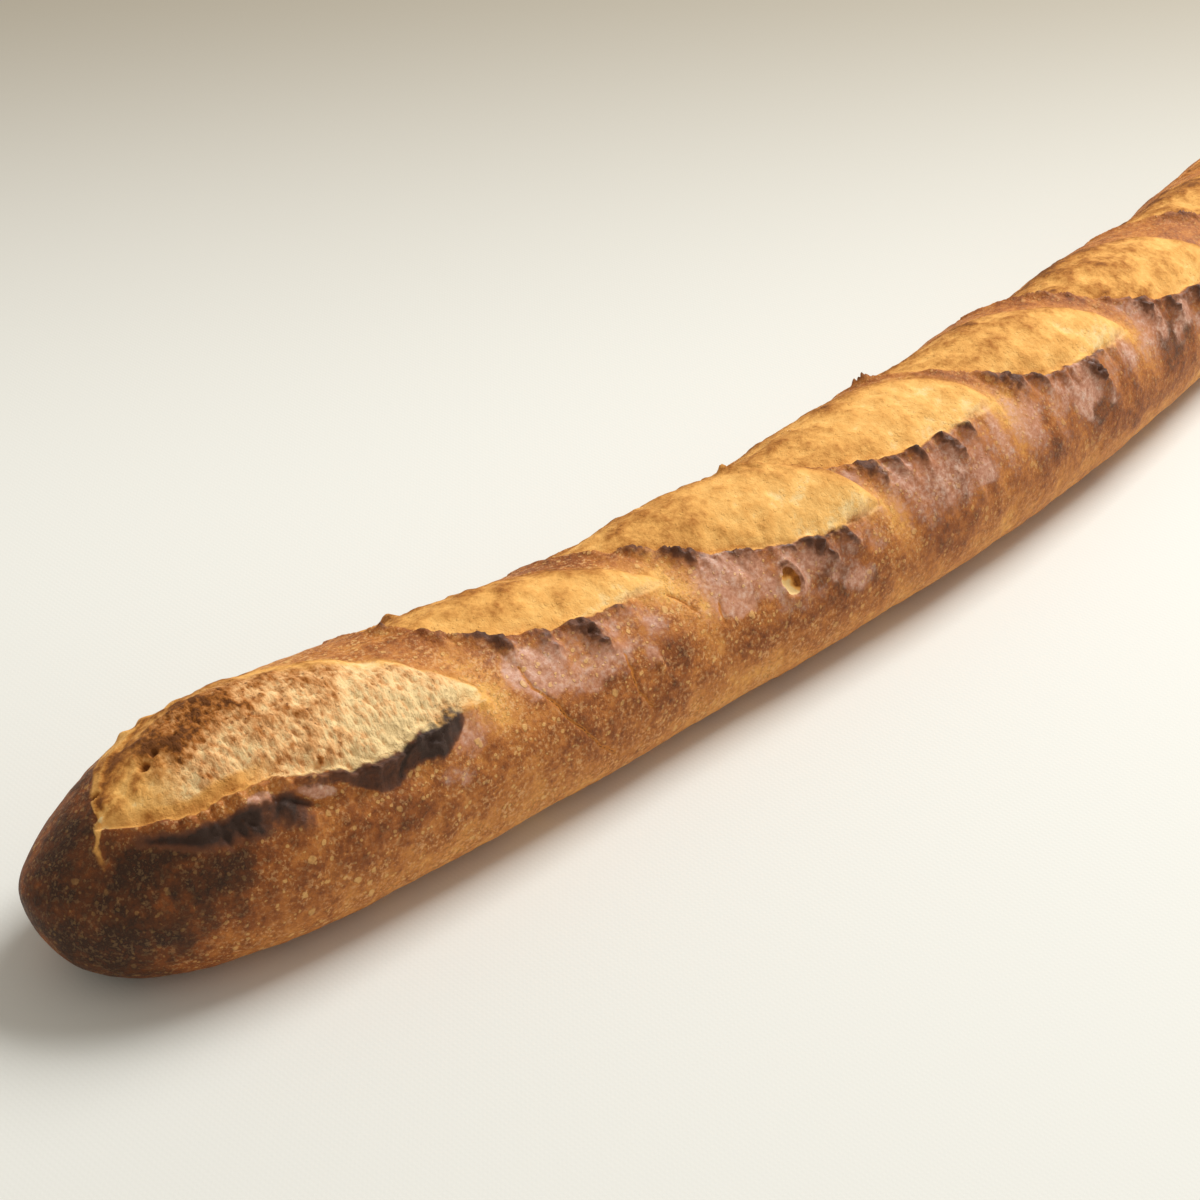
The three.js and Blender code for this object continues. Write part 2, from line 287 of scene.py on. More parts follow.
_steps = np.arange(0.0, LENGTH + 1.0)
_ways = heading(_steps[1:] - 0.5)
CENTRE_X = np.concatenate([[0.0], np.cumsum(np.cos(_ways))])
CENTRE_Y = np.concatenate([[0.0], np.cumsum(np.sin(_ways))])


def end_factor(s):
    near = 1 - np.clip(1 - (s - NEAR_TIP) / NEAR_END["length"], 0, 1) ** NEAR_END["power"]
    far = 1 - np.clip(1 - (LENGTH - s) / FAR_END["length"], 0, 1) ** FAR_END["power"]
    return np.sqrt(near) * np.sqrt(far)


def body(s, angle):
    """Points of the plain body. The angle runs from the ridge towards -Y."""
    full = along_loaf(HALF_WIDTHS, s)
    half = full * end_factor(s)
    height = 2 * HEIGHT_PER_WIDTH * half
    widest = WIDEST_HEIGHT * height
    sin, cos = np.sin(angle), np.cos(angle)
    square = 2 / (LOWER_POWER_AT_END + (LOWER_POWER - LOWER_POWER_AT_END) * half / full)
    across = half * np.where(cos >= 0, sin, np.sign(sin) * np.abs(sin) ** square)
    up = np.where(cos >= 0, (height - widest) * cos, -widest * np.abs(cos) ** square)
    rising = np.where(s < LENGTH / 2, NEAR_END["lift"], FAR_END["lift"])
    lift = rising * WIDEST_HEIGHT * 2 * HEIGHT_PER_WIDTH * full * (1 - half / full) ** LIFT_POWER
    way = heading(s)
    x = np.interp(s, _steps, CENTRE_X) + np.sin(way) * across
    y = np.interp(s, _steps, CENTRE_Y) - np.cos(way) * across
    return np.stack([x, y, widest + up + lift - BASE_FLAT], -1)


def unit(v):
    return v / (np.linalg.norm(v, axis=-1, keepdims=True) + 1e-9)


def body_axes(s, angle):
    """Unit outward normal, and unit way over the crust towards the ears."""
    ds, da, clear = 0.4, 0.01, 0.05
    ahead = body(np.minimum(s + ds, LENGTH - clear), angle)
    along = ahead - body(np.maximum(s - ds, NEAR_TIP + clear), angle)
    over = body(s, angle + da) - body(s, angle - da)
    return unit(np.cross(over, along)), unit(over)


# ---- Slashes -------------------------


def slash_edges(cut, s):
    t = np.clip((s - cut["first"]) / (cut["last"] - cut["first"]), 0, 1)
    sways = LIP_SWAYS.get(SLASHES.index(cut), [])
    sway = sum(far * bell((s - at) / reach) for at, reach, far in sways)
    lip = (cut["tip"] + (cut["start"] - cut["tip"]) * (1 - t) ** cut["opens"]
           + sway * smooth((1 - t) / 0.2))
    back = (BACK_ARC + (cut["tip"] - BACK_ARC) * t ** cut["closes"]
            + (cut["start"] - BACK_ARC) * (1 - t) ** (cut["opens"] - 2))
    return t, lip, np.minimum(back, lip)


def opening_height(cut, t, lip, back, arc):
    width = np.maximum(lip - back, 0.001)
    v = np.clip((arc - back) / width, 0, 1)
    bulge = cut["crown"] * (0.15 + 0.85 * smooth(t / 0.6)) * np.sin(np.pi * v ** 0.9) ** 0.8
    dip = cut["dip"] * (1 - smooth(t / 0.45)) * np.sqrt(np.sin(np.pi * v))
    gully = cut["gully"] * np.exp(-(1 - v) * width / GULLY_FADE) * np.sin(np.pi * t) ** 0.6
    return bulge * np.minimum(1, width / CRUMB_FULL_WIDTH) - dip - gully


def crest_height(cut, s):
    along = np.clip((s - cut["first"] + 6) / (cut["last"] - cut["first"] + 12), 0, 1)
    return cut["lip"] * np.sin(np.pi * along) ** 0.7


def ellipse(s, arc, at, over, length, width, tilt=0.0):
    """Distance from a place in units of an ellipse, its length `tilt` degrees off the loaf's."""
    c, n = np.cos(radians(tilt)), np.sin(radians(tilt))
    ds, da = s - at, arc - over
    return np.hypot((c * ds + n * da) / length, (c * da - n * ds) / width)


def polyline_distance(s, arc, places):
    """Distance over the crust to a line through the places, and how far along it, 0 to 1."""
    best = np.full(s.shape, 99.0)
    along = np.zeros(s.shape)
    for i, ((s0, a0), (s1, a1)) in enumerate(zip(places, places[1:])):
        ds, da = s1 - s0, a1 - a0
        f = np.clip(((s - s0) * ds + (arc - a0) * da) / (ds * ds + da * da), 0, 1)
        d = np.hypot(s - s0 - f * ds, arc - a0 - f * da)
        along = np.where(d < best, (i + f) / (len(places) - 1), along)
        best = np.minimum(best, d)
    return best, along


# ---- The crust's relief and colour masks


class Opening:
    """One slash: where each place of the crust lies in it, as arrays like s."""

    def __init__(self, number, s, arc, wander, wander_back):
        cut = SLASHES[number]
        t, lip, back = slash_edges(cut, s)
        clear_of_tips = smooth(t * 6) * smooth((1 - t) * 6)
        self.number, self.cut, self.t = number, cut, t
        self.lip = lip + wander * clear_of_tips
        self.back = np.minimum(back + wander_back * clear_of_tips, self.lip)
        self.v = np.clip((arc - self.back) / np.maximum(self.lip - self.back, 0.001), 0, 1)
        self.below = arc - self.lip
        self.down = np.maximum(self.below, 0)  # from the lip down the side
        self.edge = np.maximum(-self.below, 0)  # from the lip into the opening
        self.on = (s > cut["first"]) & (s < cut["last"])
        self.behind = self.on & (arc < self.back)
        self.ahead = self.on & (arc > self.back)
        self.inside = self.ahead & (arc < self.lip)
        self.beside = self.on & (self.below > 0)
        self.past = smooth(self.below / LIP_STEP + 0.5)
        self.reached = self.ahead & (self.below < LIP_STEP)
        self.melt = rise(t, MELT_FROM, 1 - MELT_FROM)
        self.pleat = fractal(flat(s - 0.45 * arc, 0.1 * arc), PLEAT, SEED + 30 + number, 2)


class Crust:
    """Relief and colour masks over the whole crust, each an array like s.

    height: over the plain body. shift: over the crust, towards the ears. crumb: 1 in the
    openings. opening: above 0.5 in them, with an even slope across their edges. torn: 1
    where the crumb is rough. bake: the crumb's colour, 0 cream to 1 brown. strip, halo:
    lighter skin by the tips. shade: darker skin below the lips.
    """

    def __init__(self, s, arc, points):
        self.s, self.arc, self.points = s, arc, points
        self.broad = fractal(points, 28.0, SEED + 10, 2)
        self.middling = fractal(points, 9.0, SEED + 11, 2)
        self.small = fractal(points, 3.6, SEED + 12, 2)
        self.height, self.shift = np.zeros_like(s), np.zeros_like(s)
        self.crumb, self.opening, self.torn = (np.zeros_like(s) for _ in range(3))
        self.bake = np.full_like(s, 0.5)
        self.burn_and_shade, self.mauve_sheen, self.strip, self.halo, self.shade, self.crack, self.blister = (
            np.zeros_like(s) for _ in range(7))

    def uneven(self, broad=0.0, middling=0.0, small=0.0):
        """Noise of three sizes, each times its share."""
        return broad * self.broad + middling * self.middling + small * self.small

    def layers(self):
        """The relief's height and shift, and the masks that the material reads."""
        line = flat(self.s, 0 * self.arc)
        wander = fractal(line, 9.0, SEED) * 0.8 + fractal(line, 3.0, SEED + 1) * 0.4
        wander_back = fractal(line, 11.0, SEED + 3) * 1.4 + fractal(line, 3.5, SEED + 4) * 0.5
        for number in range(len(SLASHES)):
            o = Opening(number, self.s, self.arc, wander, wander_back)
            self.raise_slash(o, line)
            self.open_slash(o)
            self.colour_lip(o)
        self.add_crags()
        self.add_waists()
        self.skin = 1 - self.crumb
        self.add_first_ear()
        self.add_cracks()
        self.add_strands()
        self.add_holes()
        self.add_blisters()
        self.add_mauve_sheen_patches()
        pits = self.roughen()
        tone = self.skin_tone()
        return {
            "height": self.height * smooth(end_factor(self.s)),
            "shift": self.shift,
            "crumb": self.opening,
            "bake": self.bake,
            "torn": self.torn,
            "pit": pits,
            "burn_and_shade": np.clip(self.burn_and_shade * self.unburnt, 0, 1.3) * self.skin,
            "mauve_sheen": np.clip(self.mauve_sheen, 0, 1) * self.skin,
            "tone": tone,
            "crack": self.crack * self.skin,
        }

    # slashes

    def raise_slash(self, o, line):
        """The raised lip, the step down behind it, the opening's floor and its back rim."""
        ragged = 1 + 0.45 * fractal(line, 4.2, SEED + 20 + o.number, 2)
        crest = crest_height(o.cut, self.s) * ragged
        crest += o.pleat * smooth(o.t * 5) * smooth((1 - o.t) * 5)
        crest *= np.exp(-(o.down / LIP_FADE) ** 1.2) * (0.5 + 0.5 * smooth(o.below / 0.8))
        outside = self.height + np.where(o.on, crest, 0)
        rim = BACK_RIM_HEIGHT * np.exp(np.minimum(self.arc - o.back, 0) / BACK_RIM_FADE)
        floor = opening_height(o.cut, o.t, o.lip, o.back, self.arc)
        filling = TIP_FILLING["gully"] * o.cut["gully"] + TIP_FILLING["crown"] * o.cut["crown"]
        filling *= np.exp(-o.edge / TIP_FILLING["reach"])
        floor += filling * rise(o.t, 0.4, 0.3) * smooth((1 - o.t) * 8)
        self.height = np.where(
            o.ahead, floor * (1 - o.past) + outside * o.past,
            self.height + np.where(o.behind, rim, 0))

    def open_slash(self, o):
        """The crumb: where it shows, where it is rough, and how brown it is."""
        s, arc = self.s, self.arc
        soft = smooth((o.lip - arc) / (0.6 + 3.5 * o.melt))
        soft *= smooth((arc - o.back) / (1.2 + 2 * o.melt)) * smooth(o.t / 0.03)
        self.crumb = np.where(o.inside, soft, self.crumb)

        blur = EDGE_BLUR["rest"] if o.number else EDGE_BLUR["first"]
        reach = o.back
        if o.number == 0:
            reach = reach - BACK_REACH["by"] * hill(s, BACK_REACH["at"], BACK_REACH["over"])
        melting = EDGE_BLUR["melting"] * o.melt
        field = np.minimum((o.lip - arc) / (blur + melting),
                           (arc - reach) / (EDGE_BLUR["back"] + melting))
        field = np.clip(0.5 + field + self.uneven(small=0.03), 0, 1)
        field *= smooth(o.t / 0.03) * smooth((1 - o.t) / 0.02) * o.on
        self.opening = np.maximum(self.opening, field)

        if o.number:
            tone = self.gold_tone(o)
        else:
            band = rise(s, 24, 5) * fall(s, 50, 14) * fall(o.edge, 3.0, 2.4)  # smooth and gold
            tone = self.first_tone(o) * (1 - band) + (0.6 + self.uneven(small=0.1)) * band
            self.tear(o, band)
        back_tone = 0.56 + self.uneven(middling=0.25, small=0.2)
        self.bake = np.where(o.reached, tone, np.where(o.behind, back_tone, self.bake))

    def gold_tone(self, o):
        """Gold crumb, paler by the lip and the +X tip, with a browner line on the edge."""
        glow = np.exp(-o.edge / 2.4) * rise(o.t, 0.25, 0.3) * (0.7 + self.uneven(middling=0.6))
        tip_light = hill(o.t, 0.84, 0.2) * smooth(o.v * 2)
        tone = 0.53 + 0.3 * (1 - o.v) ** 2 - 0.34 * glow - 0.3 * tip_light
        tone += 0.25 * np.exp(-o.edge / 0.7) * (1 - o.melt)
        tone += 0.12 * (o.number > LAST_NEAR_SLASH)
        return tone + self.uneven(middling=0.2, small=0.1)

    def first_tone(self, o):
        """The first opening: torn cream crumb, ochre towards its back and its -X tip."""
        s, edge = self.s, o.edge
        tone = 0.36 - 0.34 * np.exp(-edge / 3.2) * rise(s, 26, 10)
        tone += 0.24 * fall(o.v, 0.1, 0.5) + 0.22 * fall(s, 46, 26) * fall(o.v, 0.5, 0.3)
        tone += 0.4 * bell(ellipse(s, self.arc, *OCHRE_PATCH))
        tone -= 0.34 * rise(s, 78, 16) + 0.2 * rise(s, 110, 6)
        # Browner crumb beside the burnt dome: painted warm shade where the dome shades it.
        tone += 0.5 * hill(s, 105, 7) * np.exp(-edge / 1.6)
        return tone + self.uneven(middling=0.22, small=0.16)

    def tear(self, o, band):
        """The first opening's rough crumb, and the lean of its lip over the hollow."""
        torn = smooth((o.t - 0.1) * 6) * smooth((1 - o.t) * 9) * smooth((o.v - 0.08) * 5)
        self.torn = np.where(o.inside, torn * (1 - band), 0)
        lean = 1.4 * o.past * hill(o.below, 0.5, 2.2) * rise(self.s, 40, 30)
        self.shift += np.where(o.on, lean, 0)

    def colour_lip(self, o):
        """Mauve skin with a painted sheen, burnt skin and painted shade below the lip, and
        lighter skin by the +X tip.
        """
        s, t, cut = self.s, o.t, o.cut
        mauve_sheen = rise(o.below, 0.5, 3) * fall(o.below, 9 + self.uneven(middling=6), 13)
        mauve_sheen *= rise(t, 0.2, 0.2) * fall(t, 0.84, 0.1) * (0.55 + self.uneven(middling=0.5))
        self.mauve_sheen = np.maximum(self.mauve_sheen * ~o.inside, mauve_sheen * o.beside)
        if o.number == 0:
            self.mauve_sheen *= rise(s, 92, 10)
        halo = np.exp(-np.abs(o.below) / 3.5) * rise(t, 0.62, 0.2) * o.on
        self.halo = np.maximum(self.halo * ~o.inside, halo)
        far = o.number >= TIP_STRIP["far_from"]
        tip = ellipse(
            s, self.arc, cut["last"] + TIP_STRIP["past"], cut["tip"] + TIP_STRIP["below"],
            TIP_STRIP["far_length" if far else "length"], TIP_STRIP["width"], TIP_STRIP["tilt"])
        self.strip = np.maximum(self.strip * ~o.inside, bell(tip))
        if o.number:
            # Painted shade on the skin below the overhanging lip.
            shade = np.exp(-o.down / 11) * rise(t, 0.1, 0.2) * (1 - o.melt) * o.beside
            self.shade = np.maximum(self.shade, shade)
            burn_and_shade = (0.36 + 0.5 * o.pleat) * np.exp(-o.down / 3.2) * rise(t, 0.15, 0.2)
            burn_and_shade *= (0.75 if o.number > LAST_NEAR_SLASH else 1) * (1 - o.melt)
            self.burn_and_shade += burn_and_shade * o.beside

    def add_crags(self):
        """The burnt crests on the lips, each a short pleat that runs down the side."""
        ragged = 0.8 + 0.5 * fractal(self.points, 2.4, SEED + 40, 2)
        for cut in SLASHES:
            form = FIRST_CRAG if cut is SLASHES[0] else CRAG
            for at, below, tall, radius in cut["crags"]:
                lip = slash_edges(cut, np.float64(at))[1]
                under = self.arc - lip
                down = ellipse(
                    self.s, self.arc, at + form["along"] * radius,
                    lip + below + form["below"] * radius,
                    form["length"] * radius, form["width"] * radius, form["tilt"])
                lump = bell(down) * smooth((under + 1.6) / 1.6)
                self.height += form["rise"] * tall * lump * ragged
                self.shift -= 0.15 * tall * lump * smooth(under / LIP_STEP + 0.5)
                burnt = form["burn_and_shade"] + form["burn_by_height"] * tall
                self.burn_and_shade += burnt * lump * (0.75 + 0.5 * ragged)

    def add_waists(self):
        for cut in SLASHES:
            middle = cut["first"] + cut["waist_at"]
            self.height -= (cut["waist"] * hill(self.s, middle, WAIST_REACH["along"])
                            * hill(self.arc, WAIST_REACH["at"], WAIST_REACH["over"]))

    # the first ear, and single forms

    def add_first_ear(self):
        """The first slash's hollow ear, its dark wall and burnt apron, both partly painted
        shade, the ochre band, and the folds, with painted shade in their creases.
        """
        s, cut = self.s, SLASHES[0]
        under = self.arc - slash_edges(cut, np.minimum(s, cut["last"] - 0.01))[1]
        along = rise(s, EAR_HOLLOW["first"], 8) * fall(s, EAR_HOLLOW["last"] - 8, 8)
        self.height -= (EAR_HOLLOW["depth"] * along
                        * hill(under, EAR_HOLLOW["below"], EAR_HOLLOW["reach"]))

        wall = rise(s, EAR_WALL["first"], 8) * fall(s, EAR_WALL["last"] - 5, 5)
        wall *= rise(under, -0.5, 0.5)
        foot = EAR_WALL["foot"] + self.uneven(small=0.8)
        for at, further, reach in EAR_WALL["tongues"]:
            foot = foot + further * hill(s, at, reach)
        # The wall under the ear: burnt, and darkened further with painted shade.
        wall_burn_and_shade = 0.46 + 0.28 * rise(s, 66, 12)
        self.burn_and_shade += wall_burn_and_shade * wall * fall(under, foot, 1.8)

        apron = rise(s, APRON["first"], 6) * fall(s, APRON["last"] - 12, 12)
        apron *= smooth(under / 0.6)
        widening = rise(s, *APRON["widens"])
        # Below the ochre band: burn and painted shade under its ledge.
        burn_and_shade_at = APRON["burn_and_shade_below"] + APRON["burn_and_shade_widening"] * widening
        self.burn_and_shade += (0.46 * apron * hill(under, burn_and_shade_at, APRON["burn_and_shade_reach"])
                      * (1 + self.uneven(small=0.8)))
        ochre_to = APRON["ochre"] + APRON["ochre_widening"] * widening + self.uneven(small=0.8)
        self.ochre = apron * fall(under, ochre_to, 2.4)
        self.unburnt = 1 - 0.75 * self.ochre

        for *place, depth in FOLDS:
            fold = bell(ellipse(s, self.arc, *place))
            self.height -= depth * fold * self.skin
            # Painted shade in the sunken creases.
            self.burn_and_shade += 0.5 * fold * (depth > 0)

    def strayed(self, places, stray_s, stray_arc):
        """The distance to an uneven line through the places, and how far along it."""
        return polyline_distance(self.s + stray_s, self.arc + stray_arc, places)

    def add_cracks(self):
        for places, size in CRACKS:
            away, part = self.strayed(
                places, self.uneven(small=0.5), self.uneven(middling=0.5))
            fade = fall(part, 0.9, 0.1)
            self.height -= 0.6 * bell(away / size) * fade * self.skin
            self.crack = np.maximum(self.crack, np.clip(1 - away / (4 * size), 0, 1) * fade)

    def add_strands(self):
        """Pale strands of crumb, and the seam below the tip that they start from."""
        for places, size in STRANDS:
            away, part = self.strayed(places, self.uneven(small=0.6), self.uneven(small=0.9))
            strand = bell(away / size) * (1 - 0.6 * part) * self.crumb
            self.height += 0.5 * strand
            self.bake = self.bake - 0.36 * strand
        away, part = self.strayed(SEAM, self.uneven(small=0.5), self.uneven(small=0.5))
        seam = np.clip(0.5 + (1 - part - away) / 8, 0, 1) * (away < 4)
        self.opening = np.maximum(self.opening, seam)
        self.bake = np.where((away < 3) & (self.crumb < 0.5), 0.3 + 0.5 * part, self.bake)

    def add_holes(self):
        """Small holes, and the curls on the back edges."""
        for at, over, radius, depth in HOLES:
            hole = fall(ellipse(self.s, self.arc, at, over, radius, radius), 0.6, 0.6)
            self.height -= depth * hole
            # Browner in each hole: painted shade inside the sunken ones.
            self.bake = self.bake + 0.5 * hole
        for at, over, radius, tall in CURLS:
            curl = bell(ellipse(self.s, self.arc, at, over, radius, 2.2 * radius))
            self.height += tall * curl
            self.burn_and_shade += 0.3 * curl

    def add_blisters(self):
        """The burst blister, pale inside with one dark side to its rim, and the whole ones."""
        at, over = BURST_BLISTER[:2]
        burst = ellipse(self.s, self.arc, *BURST_BLISTER) + self.uneven(small=0.15)
        inner = fall(burst, 0.75, 0.25)
        self.height += 0.9 * hill(burst, 1.1, 0.4) - 1.2 * inner
        self.crumb = np.maximum(self.crumb, inner)
        self.opening = np.maximum(self.opening, np.clip(1.4 - burst, 0, 1) * (burst < 1.5))
        rim_side = smooth((self.s - at - 0.6 * (self.arc - over) + 1.2) / 2.0)
        self.bake = np.where(burst < 1.5, 0.95 * rim_side * rise(burst, 0.1, 0.4), self.bake)
        self.burn_and_shade += 0.4 * hill(burst, 1.15, 0.25) * rim_side
        for place in BLISTERS:
            self.blister += bell(ellipse(self.s, self.arc, *place, BLISTER_TILT))
        self.height += 0.7 * self.blister

    def add_mauve_sheen_patches(self):
        # Mauve skin patches, their pale colour partly a painted sheen.
        for *place, strength in PATCHES:
            away = ellipse(self.s, self.arc, *place) + self.uneven(middling=0.3, small=0.14)
            self.mauve_sheen = np.maximum(self.mauve_sheen, strength * fall(away, 0.65, 0.6))
        self.mauve_sheen *= (1 - 0.85 * self.strip) * (1 - 0.8 * self.halo)

    # the whole surface

    def roughen(self):
        """The relief of the crumb and of the skin. Gives the pits of the torn crumb."""
        s, arc, warp = self.s, self.arc, self.uneven(small=0.8)
        pit, own = cells((s + warp) / 1.7, (arc + warp) / 2.3, SEED + 60)
        tiny, own_tiny = cells((s - warp) / 1.3, (arc + warp) / 1.5, SEED + 61)
        pits = np.maximum(smooth((0.45 - pit) / 0.3) * (own > 0.55),
                          0.6 * smooth((0.4 - tiny) / 0.3) * (own_tiny > 0.5))
        fibre = fractal(flat(s, arc * 0.6), 2.2, SEED + 62, 2)
        rough = self.uneven(middling=0.6, small=0.3) + 0.25 * fibre - 0.55 * pits
        self.height += self.torn * rough
        even = self.uneven(middling=0.55, small=0.2)
        self.height += self.crumb * (1 - self.torn) * even
        self.height += self.skin * self.uneven(0.4, 0.22, 0.1)
        return pits

    def skin_tone(self):
        """The colour of the skin, 0 gold to 1 dark. Adds the far half's mauve skin and its
        painted sheen.
        """
        s, arc = self.s, self.arc
        tone = 0.52 + self.uneven(0.1, 0.1, 0.08)
        far_half = rise(s, 210, 80)
        streaks = fractal(flat(s, 0.15 * arc), 7.0, SEED + 70, 2)
        tone += far_half * hill(arc, 30, 13) * (0.08 + 0.1 * streaks)
        far_mauve_sheen = 0.4 + self.uneven(middling=0.25) - 0.3 * streaks
        self.mauve_sheen = np.maximum(self.mauve_sheen, far_half * hill(arc, 27, 13) * far_mauve_sheen)
        tone += 0.04 * hill(arc, 34, 14) + 0.05 * hill(arc, 46, 18)
        tone -= 0.19 * rise(arc, 44, 12) * rise(s, 20, 70)
        # Painted shade below the lips.
        tone += 0.14 * self.shade * (1 - self.strip)
        tone -= 0.34 * self.strip + 0.2 * self.halo + 0.3 * hill(s, 62, 32) * hill(arc, -22, 13)
        tone = tone * (1 - self.ochre) + 0.38 * self.ochre
        for place in DARK_PATCHES:
            away = ellipse(s, arc, *place) + self.uneven(middling=0.35)
            tone += 0.13 * fall(away, 0.3, 1.0)
        tone -= 0.3 * np.minimum(self.blister, 1)
        tone += 0.32 * fall(s, 12, 50)  # the -X end is the darkest
        return tone + 0.2 * fall(LENGTH - s, 6, 30)


# ---- Mesh ----------------------------


def row_places():
    """Places of the rows: even along the loaf, closer together in the round ends."""
    count = int(LENGTH / CELL)
    u = (np.arange(count) + 0.6) / (count + 0.2)
    ends = 0.5 - 0.5 * np.cos(np.pi * u)
    return NEAR_TIP + (LENGTH - NEAR_TIP) * (0.8 * u + 0.2 * ends)


def column_arcs():
    """Arcs of the columns: fine over the top and the near side, coarse underneath."""
    fine = np.arange(FINE_ARC[0], FINE_ARC[1], CELL)
    once_round = 2 * np.pi * ARC_RADIUS
    coarse = np.arange(FINE_ARC[1], FINE_ARC[0] + once_round, COARSE_CELL)
    return np.concatenate([fine, coarse])


def make_mesh(name, ring, masks, poles):
    """A closed skin from a grid of points (row, column, 3), with a fan at each end."""
    n, m = ring.shape[:2]
    verts = np.concatenate([ring.reshape(-1, 3), poles]) * MM
    i, j = np.meshgrid(np.arange(n - 1), np.arange(m), indexing="ij")
    k = (j + 1) % m
    quads = np.stack([i * m + j, i * m + k, (i + 1) * m + k, (i + 1) * m + j], -1)
    c = np.arange(m)
    d = (c + 1) % m
    near = np.stack([np.full(m, n * m), d, c], -1)
    far = np.stack([np.full(m, n * m + 1), (n - 1) * m + c, (n - 1) * m + d], -1)
    mesh = bpy.data.meshes.new(name)
    faces = quads.reshape(-1, 4).tolist() + near.tolist() + far.tolist()
    mesh.from_pydata(verts.tolist(), [], faces)
    mesh.shade_smooth()
    for key, values in masks.items():
        layer = mesh.attributes.new(key, "FLOAT", "POINT")
        ends = [values[0].mean(), values[-1].mean()]
        every = np.concatenate([values.ravel(), ends])
        layer.data.foreach_set("value", every.astype(np.float32))
    return mesh


def set_uv(mesh, s, arc, m):
    """Unrolls the crust: u along the loaf, v once round it."""
    n = len(s)
    once_round = 2 * np.pi * ARC_RADIUS
    loops = np.empty(len(mesh.loops), np.int64)
    mesh.loops.foreach_get("vertex_index", loops)
    u = np.append(np.repeat(s / LENGTH, m), [0.0, 1.0])[loops]
    v = np.append(np.tile((arc - arc[0]) / once_round, n), [0.0, 0.0])[loops]
    starts = np.empty(len(mesh.polygons), np.int64)
    totals = np.empty(len(mesh.polygons), np.int64)
    mesh.polygons.foreach_get("loop_start", starts)
    mesh.polygons.foreach_get("loop_total", totals)
    face = np.repeat(np.arange(len(starts)), totals)
    highest = np.zeros(len(starts))
    np.maximum.at(highest, face, v)
    v = np.where((highest[face] > 0.6) & (v < 0.3), v + 1.0, v)
    pole = loops >= n * m
    v = np.where(pole, highest[face], v)
    layer = mesh.uv_layers.new(name="OFBake")
    uv = np.stack([u, np.clip(v, 0, 1)], -1)
    layer.data.foreach_set("uv", uv.ravel().astype(np.float32))


def build_loaf():
    places, arcs = row_places(), column_arcs()
    s, arc = np.meshgrid(places, arcs, indexing="ij")
    angle = arc / ARC_RADIUS
    plain = body(s, angle)
    normal, over = body_axes(s, angle)
    round_arc = (angle + np.pi) % (2 * np.pi) - np.pi
    signed_arc = round_arc * ARC_RADIUS
    layers = Crust(s, signed_arc, plain).layers()
    height, shift = layers.pop("height")[..., None], layers.pop("shift")[..., None]
    ring = plain + normal * height + over * shift
    ring[..., 2] = np.maximum(ring[..., 2], 0)
    poles = body(np.array([NEAR_TIP, LENGTH]), np.zeros(2))
    low, high = ring.reshape(-1, 3).min(0), ring.reshape(-1, 3).max(0)
    middle = (low + high) / 2 * (1, 1, 0)
    layers["along"] = s
    layers["over"] = signed_arc
    mesh = make_mesh("loaf_crust", ring - middle, layers, poles - middle)
    set_uv(mesh, places, arcs, len(arcs))
    loaf = bpy.data.objects.new("loaf_crust", mesh)
    bpy.context.scene.collection.objects.link(loaf)
    mesh.materials.append(crust_material())
    return loaf


# ---- Materials -----------------------


def linear(r, g, b):
    """A shader colour from the 0 to 255 values of an ordinary colour."""
    c = np.array([r, g, b]) / 255.0
    c = np.where(c <= 0.04045, c / 12.92, ((c + 0.055) / 1.055) ** 2.4)
    return (*c.tolist(), 1.0)


